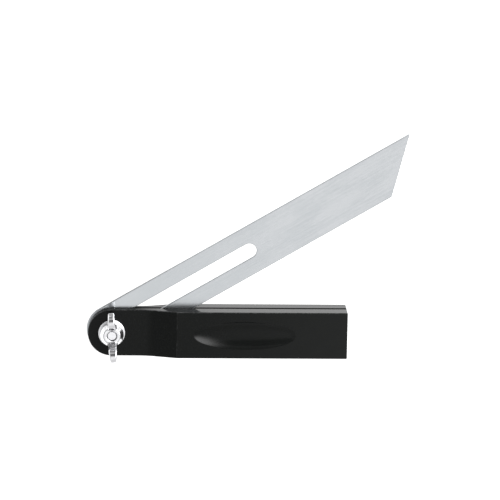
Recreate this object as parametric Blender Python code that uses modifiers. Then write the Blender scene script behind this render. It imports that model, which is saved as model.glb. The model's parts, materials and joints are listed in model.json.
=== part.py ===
"""Sliding bevel: a slotted steel blade that swings and slides in the slit of a black stock, and is
clamped there by a bolt and a wing nut. Metres, +Z up. The origin lies on the pivot axis, in the
plane that the tool rests on, and +X runs along the stock to its tail."""

import math

import bmesh
import bpy
from mathutils import Matrix

# Stock: two halves with a slit between them
STOCK_HEIGHT = 0.025
STOCK_THICKNESS = 0.018
TAIL_REACH = 0.1237
SLIT_WIDTH = 0.002
HEAD_THICKNESS = 0.008
HEAD_FLAT_REACH = 0.014
FULL_THICKNESS_REACH = 0.0341
COVE_RADIUS = 0.027
EDGE_ROUNDING = 0.0003

# Finger recess: an oval dish, the same on both faces
RECESS_CENTRE = 0.0698
RECESS_LENGTH = 0.0538
RECESS_WIDTH = 0.0150
RECESS_DEPTH = 0.0024
RECESS_ROUNDNESS_SHARE = 0.42

# Blade
BLADE_WIDTH = 0.0247
BLADE_THICKNESS = 0.0015
BLADE_LENGTH = 0.19985
BLADE_END_CUT = 45.0
BLADE_ANGLE = 30.66
SLOT_WIDTH = 0.0078
SLOT_TRAVEL = 0.0840
BLADE_EDGE_ROUNDING = 0.0001

# Clamp bolt and washers
BOLT_DIAMETER = 0.0048
BOLT_HEAD_DIAMETER = 0.0120
BOLT_END_HEIGHT = 0.0198
BOLT_END_CHAMFER = 0.0005
BOLT_HEAD_ROUNDING = 0.0006
WASHER_THICKNESS = 0.0010
HEAD_WASHER_DIAMETER = 0.0130
NUT_WASHER_DIAMETER = 0.0141
WASHER_EDGE_CHAMFER = 0.00015

# Wing nut
NUT_BASE_DIAMETER = 0.0124
NUT_TOP_DIAMETER = 0.0088
NUT_BODY_HEIGHT = 0.0058
NUT_SKIRT_HEIGHT = 0.0028
NUT_TOP_ROUNDING = 0.0006
NUT_COUNTERSINK = 0.0005
NUT_HEIGHT = 0.0150
WING_SPAN = 0.0274
WING_EAR_RADIUS = 0.0045
WING_EAR_THICKNESS = 0.0034
WING_ROOT_REACH = 0.0050
WING_ROOT_HEIGHT = 0.0034
WING_ROOT_RADIUS = 0.0021
WING_ROOT_THICKNESS = 0.0046
WING_EDGE_ROUNDING = 0.0010
NUT_TURN = 3.5

# Tail: a spacer in the slit and two countersunk screws from the rear
SPACER_LENGTH = 0.0112
SPACER_RECESS = 0.0006
SCREW_DIAMETER = 0.0036
SCREW_HEAD_DIAMETER = 0.0072
SCREW_HEAD_ANGLE = 45.0
SCREW_HEAD_RIM = 0.0004
SCREW_LENGTH = 0.0145
SCREW_SPACING = 0.0130
SCREW_FROM_TAIL = 0.0058
SCREW_END_CHAMFER = 0.0004
DRIVE_WIDTH = 0.0009
DRIVE_LENGTH = 0.0042
DRIVE_DEPTH = 0.0014

# Fits
SEAT_GAP = 0.0003
HOLE_CLEARANCE = 0.0003
OVERRUN = 0.001
WELD = 0.000001

# Round faces
HEAD_STEPS = 48
HOLE_STEPS = 32
SLOT_STEPS = 16
COVE_STEPS = 6
TURN_STEPS = 48
RECESS_STEPS = 64
EAR_STEPS = 18
ROOT_STEPS = 8
CROWN_STEPS = 3
BEVEL_STEPS = 2
SHARP_ANGLE = 40.0
FLAT_ANGLE = 0.1
HALVINGS = 60

# Derived places
MID_PLANE = STOCK_THICKNESS / 2
HALF_HEIGHT = STOCK_HEIGHT / 2
REAR_CHEEK_FACE = MID_PLANE - HEAD_THICKNESS / 2
FRONT_CHEEK_FACE = MID_PLANE + HEAD_THICKNESS / 2
HEAD_WASHER_BASE = REAR_CHEEK_FACE - SEAT_GAP - WASHER_THICKNESS
BOLT_HEAD_HEIGHT = HEAD_WASHER_BASE - SEAT_GAP
NUT_WASHER_BASE = FRONT_CHEEK_FACE + SEAT_GAP
NUT_BASE = NUT_WASHER_BASE + WASHER_THICKNESS + SEAT_GAP
BOLT_HOLE_RADIUS = BOLT_DIAMETER / 2 + HOLE_CLEARANCE
SLOT_OFFSET = SLOT_WIDTH / 2 - BOLT_DIAMETER / 2 - HOLE_CLEARANCE
SCREW_HOLE_RADIUS = SCREW_DIAMETER / 2 + HOLE_CLEARANCE
SCREW_PLACE = TAIL_REACH - SCREW_FROM_TAIL
SPACER_THICKNESS = SLIT_WIDTH - 2 * SEAT_GAP


def clear_scene():
    for obj in list(bpy.data.objects):
        bpy.data.objects.remove(obj, do_unlink=True)


def new_collection(name, hidden=False):
    collection = bpy.data.collections.new(name)
    bpy.context.scene.collection.children.link(collection)
    collection.hide_render = hidden
    return collection


def new_material(name, colour, roughness, metallic):
    material = bpy.data.materials.new(name)
    material.use_nodes = True
    shader = material.node_tree.nodes["Principled BSDF"]
    shader.inputs["Base Color"].default_value = (*colour, 1.0)
    shader.inputs["Roughness"].default_value = roughness
    shader.inputs["Metallic"].default_value = metallic
    return material


clear_scene()
PARTS = new_collection("sliding_bevel")
CUTTERS = new_collection("sliding_bevel_cutters", hidden=True)

BLACK_PAINT = new_material("black_paint", (0.014, 0.015, 0.0145), 0.42, 0.0)
SATIN_STEEL = new_material("satin_steel", (0.62, 0.64, 0.66), 0.30, 1.0)
BRIGHT_NICKEL = new_material("bright_nickel", (0.78, 0.78, 0.80), 0.12, 1.0)
DARK_STEEL = new_material("dark_steel", (0.10, 0.10, 0.105), 0.40, 1.0)


def new_object(name, mesh, material=None):
    """A part when it has a material, and otherwise a cutter."""
    obj = bpy.data.objects.new(name, mesh)
    if material is None:
        CUTTERS.objects.link(obj)
        obj.hide_render = True
        obj.display_type = "WIRE"
    else:
        PARTS.objects.link(obj)
        mesh.materials.append(material)
    return obj


def arc(centre, radius, start, end, steps):
    """Points along a circular arc, from one angle in degrees to another."""
    points = []
    for i in range(steps + 1):
        angle = math.radians(start + (end - start) * i / steps)
        x = centre[0] + radius * math.cos(angle)
        y = centre[1] + radius * math.sin(angle)
        points.append((x, y))
    return points


def new_plate(name, outlines, thickness, material=None, smooth_angle=None):
    """A flat plate in XY, centred on Z = 0. The first outline is its edge, and the others are holes."""
    curve = bpy.data.curves.new(name + "_outline", "CURVE")
    curve.dimensions = "2D"
    curve.fill_mode = "BOTH"
    curve.extrude = thickness / 2
    for outline in outlines:
        spline = curve.splines.new("POLY")
        spline.points.add(len(outline) - 1)
        for point, (x, y) in zip(spline.points, outline):
            point.co = (x, y, 0, 1)
        spline.use_cyclic_u = True
    guide = new_object(name + "_outline", curve)
    graph = bpy.context.evaluated_depsgraph_get()
    mesh = bpy.data.meshes.new_from_object(guide.evaluated_get(graph))
    bpy.data.objects.remove(guide, do_unlink=True)
    weld_mesh(mesh)
    if smooth_angle is not None:
        mesh.shade_smooth()
        mesh.set_sharp_from_angle(angle=math.radians(smooth_angle))
    return new_object(name, mesh, material)


def weld_mesh(mesh):
    """Joins the loose caps to the sides, and makes one face of each flat region that has no hole."""
    shape = bmesh.new()
    shape.from_mesh(mesh)
    bmesh.ops.remove_doubles(shape, verts=shape.verts, dist=WELD)
    flat = math.radians(FLAT_ANGLE)
    bmesh.ops.dissolve_limit(shape, angle_limit=flat, verts=shape.verts, edges=shape.edges)
    bmesh.ops.recalc_face_normals(shape, faces=shape.faces)
    shape.to_mesh(mesh)
    shape.free()


def new_turned(name, profile, material=None, steps=TURN_STEPS):
    """A body turned about its own Z from (radius, height) points that run from its top to its foot."""
    mesh = bpy.data.meshes.new(name)
    points = [(radius, 0.0, height) for radius, height in profile]
    edges = [(i, i + 1) for i in range(len(points) - 1)]
    if profile[0][0] > 0:
        edges.append((len(points) - 1, 0))
    mesh.from_pydata(points, edges, [])
    obj = new_object(name, mesh, material)
    screw = obj.modifiers.new("turn", "SCREW")
    screw.axis = "Z"
    screw.angle = math.tau
    screw.steps = steps
    screw.render_steps = steps
    screw.use_merge_vertices = True
    screw.merge_threshold = WELD
    screw.use_smooth_shade = False
    return obj


def new_cylinder(name, radius, low, high, steps=HOLE_STEPS):
    """A cutter along Z between two heights."""
    shape = bmesh.new()
    place = Matrix.Translation((0, 0, (low + high) / 2))
    bmesh.ops.create_cone(
        shape, cap_ends=True, segments=steps, radius1=radius, radius2=radius, depth=high - low, matrix=place
    )
    mesh = bpy.data.meshes.new(name)
    shape.to_mesh(mesh)
    shape.free()
    return new_object(name, mesh)


def new_box(name, size):
    """A cutter centred on its own origin."""
    shape = bmesh.new()
    bmesh.ops.create_cube(shape, size=1, matrix=Matrix.Diagonal((*size, 1)))
    mesh = bpy.data.meshes.new(name)
    shape.to_mesh(mesh)
    shape.free()
    return new_object(name, mesh)


def combine(obj, other, operation):
    modifier = obj.modifiers.new(operation.lower() + "_" + other.name, "BOOLEAN")
    modifier.operation = operation
    modifier.solver = "EXACT"
    modifier.object = other


def round_edges(obj, width):
    modifier = obj.modifiers.new("rounded_edges", "BEVEL")
    modifier.limit_method = "ANGLE"
    modifier.angle_limit = math.radians(SHARP_ANGLE)
    modifier.width = width
    modifier.segments = BEVEL_STEPS


def stock_outline():
    """The stock seen from the front: a round head about the pivot, and a square tail."""
    head = arc((0, 0), HALF_HEIGHT, 90, 270, HEAD_STEPS)
    return head + [(TAIL_REACH, -HALF_HEIGHT), (TAIL_REACH, HALF_HEIGHT)]


def cheek_profile():
    """Half of the stock seen from its working edge, as (x, distance from the mid-plane).

    The head is flat, then a hollow cove of COVE_RADIUS runs tangent into a straight ramp, which
    meets the full thickness at a crisp edge."""
    inner = SLIT_WIDTH / 2
    head = HEAD_THICKNESS / 2
    full = STOCK_THICKNESS / 2
    slope = ramp_angle(FULL_THICKNESS_REACH - HEAD_FLAT_REACH, full - head)
    centre = (HEAD_FLAT_REACH, head + COVE_RADIUS)
    cove = arc(centre, COVE_RADIUS, -90, -90 + slope, COVE_STEPS)
    start = -HALF_HEIGHT - OVERRUN
    end = TAIL_REACH + OVERRUN
    return [(start, inner), (start, head), *cove, (FULL_THICKNESS_REACH, full), (end, full), (end, inner)]


def ramp_angle(run, rise):
    """The slope, in degrees, of the line that leaves the cove tangent to it and climbs rise over run.

    The cove's tangent length is COVE_RADIUS times the tangent of half the slope, and the line covers
    what is left of the run, so the slope is found by halving an interval."""
    low, high = 0.0, 90.0
    for _ in range(HALVINGS):
        slope = math.radians((low + high) / 2)
        line_run = run - COVE_RADIUS * math.tan(slope / 2)
        if line_run * math.tan(slope) < rise:
            low = math.degrees(slope)
        else:
            high = math.degrees(slope)
    return low


def new_recess_cutter(name):
    """An ellipsoid that dips RECESS_DEPTH below its own Z = 0 and meets that plane in the oval."""
    lift = RECESS_DEPTH * RECESS_ROUNDNESS_SHARE / (1 - RECESS_ROUNDNESS_SHARE)
    vertical = RECESS_DEPTH + lift
    waist = math.sqrt(1 - (lift / vertical) ** 2)
    size = (RECESS_LENGTH / 2 / waist, RECESS_WIDTH / 2 / waist, vertical)
    shape = bmesh.new()
    place = Matrix.Translation((0, 0, lift)) @ Matrix.Diagonal((*size, 1))
    bmesh.ops.create_uvsphere(
        shape, u_segments=RECESS_STEPS, v_segments=RECESS_STEPS // 2, radius=1, matrix=place
    )
    mesh = bpy.data.meshes.new(name)
    shape.to_mesh(mesh)
    shape.free()
    return new_object(name, mesh)


def new_stock_half(name, side):
    """One half of the stock. side is 1 towards the wing nut, and -1 towards the bolt's head."""
    profile = [(x, side * z) for x, z in cheek_profile()]
    if side < 0:
        profile.reverse()
    half = new_plate(name, [profile], STOCK_HEIGHT + 2 * OVERRUN, BLACK_PAINT)
    half.data.transform(Matrix.Rotation(math.pi / 2, 4, "X"))
    half.location.z = MID_PLANE
    outline = new_plate(name + "_plan", [stock_outline()], STOCK_THICKNESS + 2 * OVERRUN)
    outline.location.z = MID_PLANE
    combine(half, outline, "INTERSECT")
    round_edges(half, EDGE_ROUNDING)
    recess = new_recess_cutter(name + "_recess_cutter")
    recess.location = (RECESS_CENTRE, 0, MID_PLANE + side * STOCK_THICKNESS / 2)
    if side < 0:
        recess.rotation_euler.x = math.pi
    combine(half, recess, "DIFFERENCE")
    bore = new_cylinder(name + "_bolt_hole", BOLT_HOLE_RADIUS, -OVERRUN, STOCK_THICKNESS + OVERRUN)
    combine(half, bore, "DIFFERENCE")
    return half


def screw_places():
    """Where the two tail screws stand."""
    return [(SCREW_PLACE, SCREW_SPACING / 2), (SCREW_PLACE, -SCREW_SPACING / 2)]


def screw_profile(grow=0.0):
    """A countersunk screw from its end down to its flat head at Z = 0, widened all round by grow."""
    radius = SCREW_DIAMETER / 2 + grow
    head = SCREW_HEAD_DIAMETER / 2 + grow
    cone = (head - radius) / math.tan(math.radians(SCREW_HEAD_ANGLE))
    top = SCREW_LENGTH + grow
    chamfer = SCREW_END_CHAMFER
    return [
        (0, top),
        (radius - chamfer, top),
        (radius, top - chamfer),
        (radius, SCREW_HEAD_RIM + cone),
        (head, SCREW_HEAD_RIM),
        (head, 0),
        (0, 0),
    ]


def screw_hole_profile():
    """The hole for a tail screw, with HOLE_CLEARANCE all round and open at the rear face."""
    hole = screw_profile(HOLE_CLEARANCE)
    head = hole[-2][0]
    return hole[:-2] + [(head, -OVERRUN), (0, -OVERRUN)]


def cut_screw_holes(obj):
    for i, (x, y) in enumerate(screw_places(), start=1):
        hole = new_turned(f"{obj.name}_screw_hole_{i}", screw_hole_profile(), steps=HOLE_STEPS)
        hole.location = (x, y, 0)
        combine(obj, hole, "DIFFERENCE")


def new_tail_spacer():
    """A strip that fills the slit at the tail, held back a little from the stock's edges."""
    length = SPACER_LENGTH - SPACER_RECESS
    height = HALF_HEIGHT - SPACER_RECESS
    start = TAIL_REACH - SPACER_LENGTH
    corners = [(start, -height), (start + length, -height), (start + length, height), (start, height)]
    spacer = new_plate("tail_spacer", [corners], SPACER_THICKNESS, DARK_STEEL)
    spacer.location.z = MID_PLANE
    for i, (x, y) in enumerate(screw_places(), start=1):
        hole = new_cylinder(f"tail_spacer_hole_{i}", SCREW_HOLE_RADIUS, 0, STOCK_THICKNESS)
        hole.location = (x, y, 0)
        combine(spacer, hole, "DIFFERENCE")
    return spacer


def new_tail_screws():
    """Two screws with cross recesses in their flat heads, which lie flush with the rear face."""
    for i, (x, y) in enumerate(screw_places(), start=1):
        screw = new_turned(f"tail_screw_{i}", screw_profile(), DARK_STEEL, steps=HOLE_STEPS)
        screw.location = (x, y, 0)
        for arm, size in (("long", (DRIVE_LENGTH, DRIVE_WIDTH)), ("wide", (DRIVE_WIDTH, DRIVE_LENGTH))):
            slot = new_box(f"tail_screw_{i}_{arm}_slot", (*size, 2 * DRIVE_DEPTH))
            slot.location = (x, y, 0)
            combine(screw, slot, "DIFFERENCE")


def blade_outlines():
    """The blade along its own +X, with the slot's near end centred on the pivot.

    The first outline has a round near end and a far end cut at BLADE_END_CUT, its tip on the upper
    edge. The second is the slot."""
    half = BLADE_WIDTH / 2
    slot = SLOT_WIDTH / 2
    tip = BLADE_LENGTH - half
    heel = tip - BLADE_WIDTH / math.tan(math.radians(BLADE_END_CUT))
    edge = arc((0, 0), half, 90, 270, HEAD_STEPS) + [(heel, -half), (tip, half)]
    hole = arc((0, 0), slot, 90, 270, SLOT_STEPS) + arc((SLOT_TRAVEL, 0), slot, -90, 90, SLOT_STEPS)
    return [[(x, y + SLOT_OFFSET) for x, y in outline] for outline in (edge, hole)]


def new_blade(pivot):
    """The slot is wider than the bolt, and the blade hangs to one side of it by SLOT_OFFSET."""
    blade = new_plate("blade", blade_outlines(), BLADE_THICKNESS, SATIN_STEEL)
    round_edges(blade, BLADE_EDGE_ROUNDING)
    blade.parent = pivot
    blade.location.z = MID_PLANE
    return blade


def bolt_profile():
    """The bolt from its threaded end down to the flat face of its round head at Z = 0."""
    shank = BOLT_DIAMETER / 2
    head = BOLT_HEAD_DIAMETER / 2
    corner = arc((head - BOLT_HEAD_ROUNDING, BOLT_HEAD_ROUNDING), BOLT_HEAD_ROUNDING, 0, -90, BEVEL_STEPS + 1)
    return [
        (0, BOLT_END_HEIGHT),
        (shank - BOLT_END_CHAMFER, BOLT_END_HEIGHT),
        (shank, BOLT_END_HEIGHT - BOLT_END_CHAMFER),
        (shank, BOLT_HEAD_HEIGHT),
        (head, BOLT_HEAD_HEIGHT),
        *corner,
        (0, 0),
    ]


def washer_profile(diameter):
    """A flat ring, its outer corners broken, standing on Z = 0."""
    outer = diameter / 2
    chamfer = WASHER_EDGE_CHAMFER
    return [
        (BOLT_HOLE_RADIUS, WASHER_THICKNESS),
        (outer - chamfer, WASHER_THICKNESS),
        (outer, WASHER_THICKNESS - chamfer),
        (outer, chamfer),
        (outer - chamfer, 0),
        (BOLT_HOLE_RADIUS, 0),
    ]


def nut_body_profile():
    """The nut's round body: a short skirt, a cone and a rounded top, standing on Z = 0."""
    base = NUT_BASE_DIAMETER / 2
    top = NUT_TOP_DIAMETER / 2
    centre = (top - NUT_TOP_ROUNDING, NUT_BODY_HEIGHT - NUT_TOP_ROUNDING)
    crown = arc(centre, NUT_TOP_ROUNDING, 90, 0, CROWN_STEPS)
    return [(0, NUT_BODY_HEIGHT), *crown, (base, NUT_SKIRT_HEIGHT), (base, 0), (0, 0)]


def nut_bore_profile():
    """The bore for the bolt, opening into a countersink at the top of the body."""
    top = NUT_BODY_HEIGHT + OVERRUN
    return [
        (0, top),
        (BOLT_HOLE_RADIUS + NUT_COUNTERSINK + OVERRUN, top),
        (BOLT_HOLE_RADIUS, NUT_BODY_HEIGHT - NUT_COUNTERSINK),
        (BOLT_HOLE_RADIUS, -OVERRUN),
        (0, -OVERRUN),
    ]


def new_wing(name, side):
    """One wing of the nut, in its own XY plane with X pointing out and Y up.

    Its outline is the band round two circles, a small root in the body and a larger ear, joined by
    their outer tangents. The wing then thins evenly from root to ear."""
    root = (WING_ROOT_REACH, WING_ROOT_HEIGHT)
    ear = (WING_SPAN / 2 - WING_EAR_RADIUS, NUT_HEIGHT - WING_EAR_RADIUS)
    reach = math.dist(root, ear)
    along = ((ear[0] - root[0]) / reach, (ear[1] - root[1]) / reach)
    aim = math.degrees(math.atan2(along[1], along[0]))
    flare = 90 + math.degrees(math.asin((WING_EAR_RADIUS - WING_ROOT_RADIUS) / reach))
    outline = arc(ear, WING_EAR_RADIUS, aim - flare, aim + flare, EAR_STEPS)
    outline += arc(root, WING_ROOT_RADIUS, aim + flare, aim + 360 - flare, ROOT_STEPS)
    wing = new_plate(name, [outline], WING_ROOT_THICKNESS)
    for vertex in wing.data.vertices:
        out = (vertex.co.x - root[0]) * along[0] + (vertex.co.y - root[1]) * along[1]
        thickness = WING_ROOT_THICKNESS + (WING_EAR_THICKNESS - WING_ROOT_THICKNESS) * out / reach
        vertex.co.z *= thickness / WING_ROOT_THICKNESS
    wing.data.transform(Matrix.Rotation(math.pi / 2, 4, "X"))
    if side < 0:
        wing.data.transform(Matrix.Rotation(math.pi, 4, "Z"))
    round_edges(wing, WING_EDGE_ROUNDING)
    return wing


def new_wing_nut():
    """The body and the wings are one casting, bored for the bolt."""
    nut = new_turned("wing_nut", nut_body_profile(), BRIGHT_NICKEL)
    wings = [new_wing("wing_nut_left_wing", -1), new_wing("wing_nut_right_wing", 1)]
    for wing in wings:
        combine(nut, wing, "UNION")
    bore = new_turned("wing_nut_bore", nut_bore_profile(), steps=HOLE_STEPS)
    combine(nut, bore, "DIFFERENCE")
    for piece in (nut, *wings, bore):
        piece.location.z = NUT_BASE
        piece.rotation_euler.z = math.pi / 2 + math.radians(NUT_TURN)
    return nut


def build_stock():
    new_stock_half("front_stock_half", 1)
    new_stock_half("rear_stock_half", -1)
    cut_screw_holes(bpy.data.objects["front_stock_half"])
    cut_screw_holes(bpy.data.objects["rear_stock_half"])
    new_tail_spacer()
    new_tail_screws()


def build_clamp():
    """The bolt, its washers and the wing nut all turn about the pivot axis."""
    new_turned("clamp_bolt", bolt_profile(), BRIGHT_NICKEL)
    head_washer = new_turned("head_washer", washer_profile(HEAD_WASHER_DIAMETER), BRIGHT_NICKEL)
    head_washer.location.z = HEAD_WASHER_BASE
    nut_washer = new_turned("nut_washer", washer_profile(NUT_WASHER_DIAMETER), BRIGHT_NICKEL)
    nut_washer.location.z = NUT_WASHER_BASE


def build():
    pivot = bpy.data.objects.new("blade_pivot", None)
    PARTS.objects.link(pivot)
    pivot.rotation_euler.z = math.radians(BLADE_ANGLE)
    build_stock()
    build_clamp()
    new_blade(pivot)
    new_wing_nut()


build()
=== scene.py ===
"""Looks of a sliding bevel, built round its construction.

Lengths are metres in the construction's own frame: +X runs along the stock to its tail, +Z comes out
of the face that carries the wing nut, and the tool rests on Z = 0 with its pivot axis on X = Y = 0.
"""

import json
import math

import bmesh
import bpy
import numpy as np
from mathutils import Matrix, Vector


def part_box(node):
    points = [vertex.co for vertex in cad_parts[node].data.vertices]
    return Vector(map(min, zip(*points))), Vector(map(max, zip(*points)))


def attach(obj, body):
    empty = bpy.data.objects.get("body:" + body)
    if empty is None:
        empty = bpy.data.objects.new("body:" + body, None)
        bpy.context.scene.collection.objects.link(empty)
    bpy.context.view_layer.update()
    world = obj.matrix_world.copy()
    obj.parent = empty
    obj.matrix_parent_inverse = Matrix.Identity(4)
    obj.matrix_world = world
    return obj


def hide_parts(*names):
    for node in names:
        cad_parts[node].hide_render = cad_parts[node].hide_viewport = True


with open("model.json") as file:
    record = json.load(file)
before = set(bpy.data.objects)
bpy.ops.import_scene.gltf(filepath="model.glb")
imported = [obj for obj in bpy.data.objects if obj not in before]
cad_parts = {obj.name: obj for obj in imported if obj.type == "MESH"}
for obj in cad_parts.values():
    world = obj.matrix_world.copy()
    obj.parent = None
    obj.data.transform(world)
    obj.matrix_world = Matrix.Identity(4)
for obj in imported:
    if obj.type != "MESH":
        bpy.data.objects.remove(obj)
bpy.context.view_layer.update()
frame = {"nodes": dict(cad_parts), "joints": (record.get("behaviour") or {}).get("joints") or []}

MM = 0.001

# Stock, read from the construction
STOCK_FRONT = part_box("front_stock_half")[1].z
SLIT_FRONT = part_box("front_stock_half")[0].z
SLIT_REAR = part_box("rear_stock_half")[1].z
MID_PLANE = (SLIT_FRONT + SLIT_REAR) / 2
TAIL_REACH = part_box("front_stock_half")[1].x
HALF_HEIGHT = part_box("front_stock_half")[1].y
HALF_SLIT = (SLIT_FRONT - SLIT_REAR) / 2
HALF_THICKNESS = STOCK_FRONT - MID_PLANE

# Stock, details
HALF_HEAD_THICKNESS = 4.0 * MM
HEAD_FLAT_REACH = 14.0 * MM
FULL_THICKNESS_REACH = 34.1 * MM
COVE_RADIUS = 27.0 * MM
EDGE_ROUNDING = 0.3 * MM
TAIL_CORNER_RADIUS = 0.5 * MM
CREST_ROUNDING = 0.25 * MM
# The crest takes the paler edge colour: worn paint and a painted highlight.
CREST_RUB = 0.7
CREST_RUB_REACH = 0.3 * MM
RECESS_CENTRE = 69.8 * MM
RECESS_LENGTH = 53.8 * MM
RECESS_WIDTH = 15.0 * MM
RECESS_DEPTH = 2.4 * MM
RECESS_ROUNDNESS_SHARE = 0.42
RECESS_RIM_SOFTNESS = 0.06 * MM

# Tail screws, the fit that their holes have, and how far the cutters run past the faces
SCREWS = ("tail_screw_1", "tail_screw_2")
SCREW_RADIUS = 1.8 * MM
SCREW_HEAD_RIM = 0.4 * MM
FIT = 0.3 * MM
OVERRUN = 1.0 * MM
BORE_CUTTER_TOP = 20.0 * MM

# Blade
SLIDE = next(joint for joint in frame["joints"] if joint["name"] == "blade_slide")
BLADE_ANGLE = math.atan2(SLIDE["axis"][1], SLIDE["axis"][0])
SLOT_TRAVEL = -SLIDE["range_m"][0]
BLADE_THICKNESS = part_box("blade")[1].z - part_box("blade")[0].z
BLADE_WIDTH = 24.7 * MM
BLADE_LENGTH = 199.82 * MM
BLADE_END_CUT = math.radians(45)
SLOT_WIDTH = 7.8 * MM
SLOT_OFFSET = 1.2 * MM
BLADE_EDGE_ROUNDING = 0.12 * MM
BLADE_RIM = 0.35 * MM

# Clamp bolt and washers
BOLT_DIAMETER = 4.8 * MM
BOLT_HEAD_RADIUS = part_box("clamp_bolt")[1].x
BOLT_END_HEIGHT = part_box("clamp_bolt")[1].z
BOLT_END_CHAMFER = 0.2 * MM
BOLT_HEAD_HEIGHT = 3.4 * MM
BOLT_HEAD_ROUNDING = 0.5 * MM
THREAD_PITCH = 0.8 * MM
THREAD_DEPTH = 0.35 * MM
THREAD_FLANK = 1.2
BOLT_HEAD_FLAT_SHARE = 0.6
BOLT_END_RINGS = (1.0, 0.97, 0.0)
WASHER_ROUNDING = 0.25 * MM
HOLE_RADIUS = BOLT_DIAMETER / 2 + FIT

# Wing nut
NUT_LOW, NUT_HIGH = (corner.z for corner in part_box("wing_nut"))
NUT_TURN = math.radians(93.5)
NUT_BASE_RADIUS = 6.2 * MM
NUT_TOP_RADIUS = 4.4 * MM
NUT_SKIRT_HEIGHT = 3.6 * MM
NUT_BODY_HEIGHT = 5.8 * MM
NUT_COUNTERSINK = 0.1 * MM
WING_REACH = 13.7 * MM
WING_EAR_RADIUS = 4.5 * MM
WING_END_THICKNESS = 3.1 * MM
WING_ROOT = (5.0 * MM, 3.4 * MM)
WING_ROOT_RADIUS = 2.1 * MM
WING_ROOT_THICKNESS = 4.6 * MM
WING_EDGE_ROUNDING = 0.75 * MM
NUT_ROUNDING = 0.2 * MM
NUT_FOOT_ROUNDING = 0.15 * MM
NUT_BORE_ROUNDING = 0.1 * MM
NUT_FILLET = 0.7 * MM
NUT_MESH_STEP = 0.17 * MM

# Where the nut is machined, and where painted shade darkens it: round its top, and on the inner sides of its
# wings
MACHINED_DEPTH = 0.05 * MM
TOP_CORNER_WIDTH = 0.3 * MM
TOP_CORNER_SHADE = 0.7
WING_SHADE_MIDDLE = 4.4 * MM
WING_SHADE_WIDTH = 1.4 * MM
WING_SHADE_RISE = 0.4 * MM
WING_SHADE_TOP = 6.5 * MM
WING_SHADE_FADE = 2.0 * MM

# Points and rows of the meshes, and how near two points lie to be joined
CROSS_POINTS = 93
NOSE_ROWS = 44
LENGTH_ROWS = 330
CREST_ROWS = 11
ROUND_END_POINTS = 72
EDGE_POINTS = 40
FAR_END_POINTS = 24
HOLE_COLUMNS = 48
BOLT_COLUMNS = 64
WASHER_COLUMNS = 128
THREAD_ROWS_PER_TURN = 8
EDGE_ROWS = 5
TAIL_CORNER_ROWS = 6
BLADE_EDGE_ROWS = 4
JOIN_DISTANCE = 0.0005 * MM

# Rounds of the two searches: for the ramp's slope, and for the nut's surface
HALVINGS = 60
SETTLING_ROUNDS = 6

# Camera, found from the outlines in the photograph
FRAME_PIXELS = 500
CAMERA_TARGET = (72.05 * MM, 44.14 * MM, MID_PLANE)
CAMERA_DISTANCE = 2.5
CAMERA_SIDE_ANGLE = math.radians(3.170)
CAMERA_RISE_ANGLE = math.radians(14.185)
CAMERA_ROLL = math.radians(1.114)
PIXELS_PER_METRE = 1908.2
SENSOR_WIDTH = 36.0

# Studio: a plain level, and soft patches as (middle, half widths along X, Y and Z, strength). For the
# sky they are directions; for the table top's glow, whose patches paint its shadows, they are places on it.
SKY_LEVEL = 0.85
SKY_PATCHES = [
    ((-0.06, -0.35, 0.93), (0.45, 0.30, 1.0), 0.22),
    ((-0.06, 0.38, 0.90), (0.34, 0.25, 0.60), -1.80),
    ((-0.06, 0.90, 0.20), (0.45, 0.45, 0.50), -0.58),
    ((0.45, 0.42, 0.80), (0.21, 0.54, 2.0), 11.5),
    ((-0.26, 0.08, 0.96), (0.13, 0.10, 2.0), -0.45),
    ((-0.55, -0.30, 0.80), (0.22, 0.35, 2.0), -0.28),
    ((0.90, -0.20, 0.40), (0.25, 0.40, 0.40), -0.45),
]
TABLE_GLOW = 1.30
TABLE_SHADE_PATCHES = [
    # Painted shadow round the head, then a darker glow on the far side and a little on the near side.
    ((0.0, 0.0, 0.0), (0.020, 0.020, 1.0), -1.3),
    ((0.0, 0.15, 0.0), (0.035, 0.135, 1.0), -1.90),
    ((0.0, 0.60, 0.0), (0.60, 0.40, 1.0), -1.05),
    ((0.0, -0.22, 0.0), (0.50, 0.20, 1.0), -0.25),
]
DARKEST_SKY = 0.16
DARKEST_TABLE = 0.04
FLOOR_HALF_SIZE = 4.0

# Colours of the finishes, in linear light
# The stock paint's two ends differ by painted light: darker by the head, paler by the tail.
PAINT_SHADED_BY_HEAD = (0.0022, 0.0026, 0.0024)
PAINT_LIT_BY_TAIL = (0.0064, 0.0069, 0.0066)
PAINT_FLECK = (0.0085, 0.0092, 0.0088)
# Paler edge colour of the paint: worn paint and a painted highlight.
PAINT_EDGE_WEAR_AND_HIGHLIGHT = (0.035, 0.036, 0.036)
STEEL_DEEP = (0.575, 0.602, 0.622)
STEEL_PALE = (0.67, 0.69, 0.71)
STEEL_LINE = (0.54, 0.565, 0.585)
# Darker colour of the blade's edges: painted shade.
STEEL_EDGE_SHADE = (0.30, 0.31, 0.32)
NICKEL_DEEP = (0.73, 0.73, 0.745)
NICKEL_PALE = (0.80, 0.80, 0.815)
NICKEL_PIT = (0.35, 0.35, 0.36)
# Darkest colour of the painted shade in the nut's crevices.
CREVICE_SHADE = (0.10, 0.10, 0.10)
BLACKED_DEEP = (0.035, 0.035, 0.038)
BLACKED_PALE = (0.10, 0.10, 0.105)

# Grinding lines on the blade, how its clouds are stretched, and how far each finish's bumps stand out
LINE_LENGTH = 14.0 * MM
LINE_WIDTH = 0.14 * MM
CLOUD_STRETCH = (0.4, 1.0, 1.0)
PAINT_RELIEF = 0.006 * MM
STEEL_RELIEF = 0.004 * MM
CASTING_RELIEF = 0.035 * MM
BLACKED_RELIEF = 0.008 * MM


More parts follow.
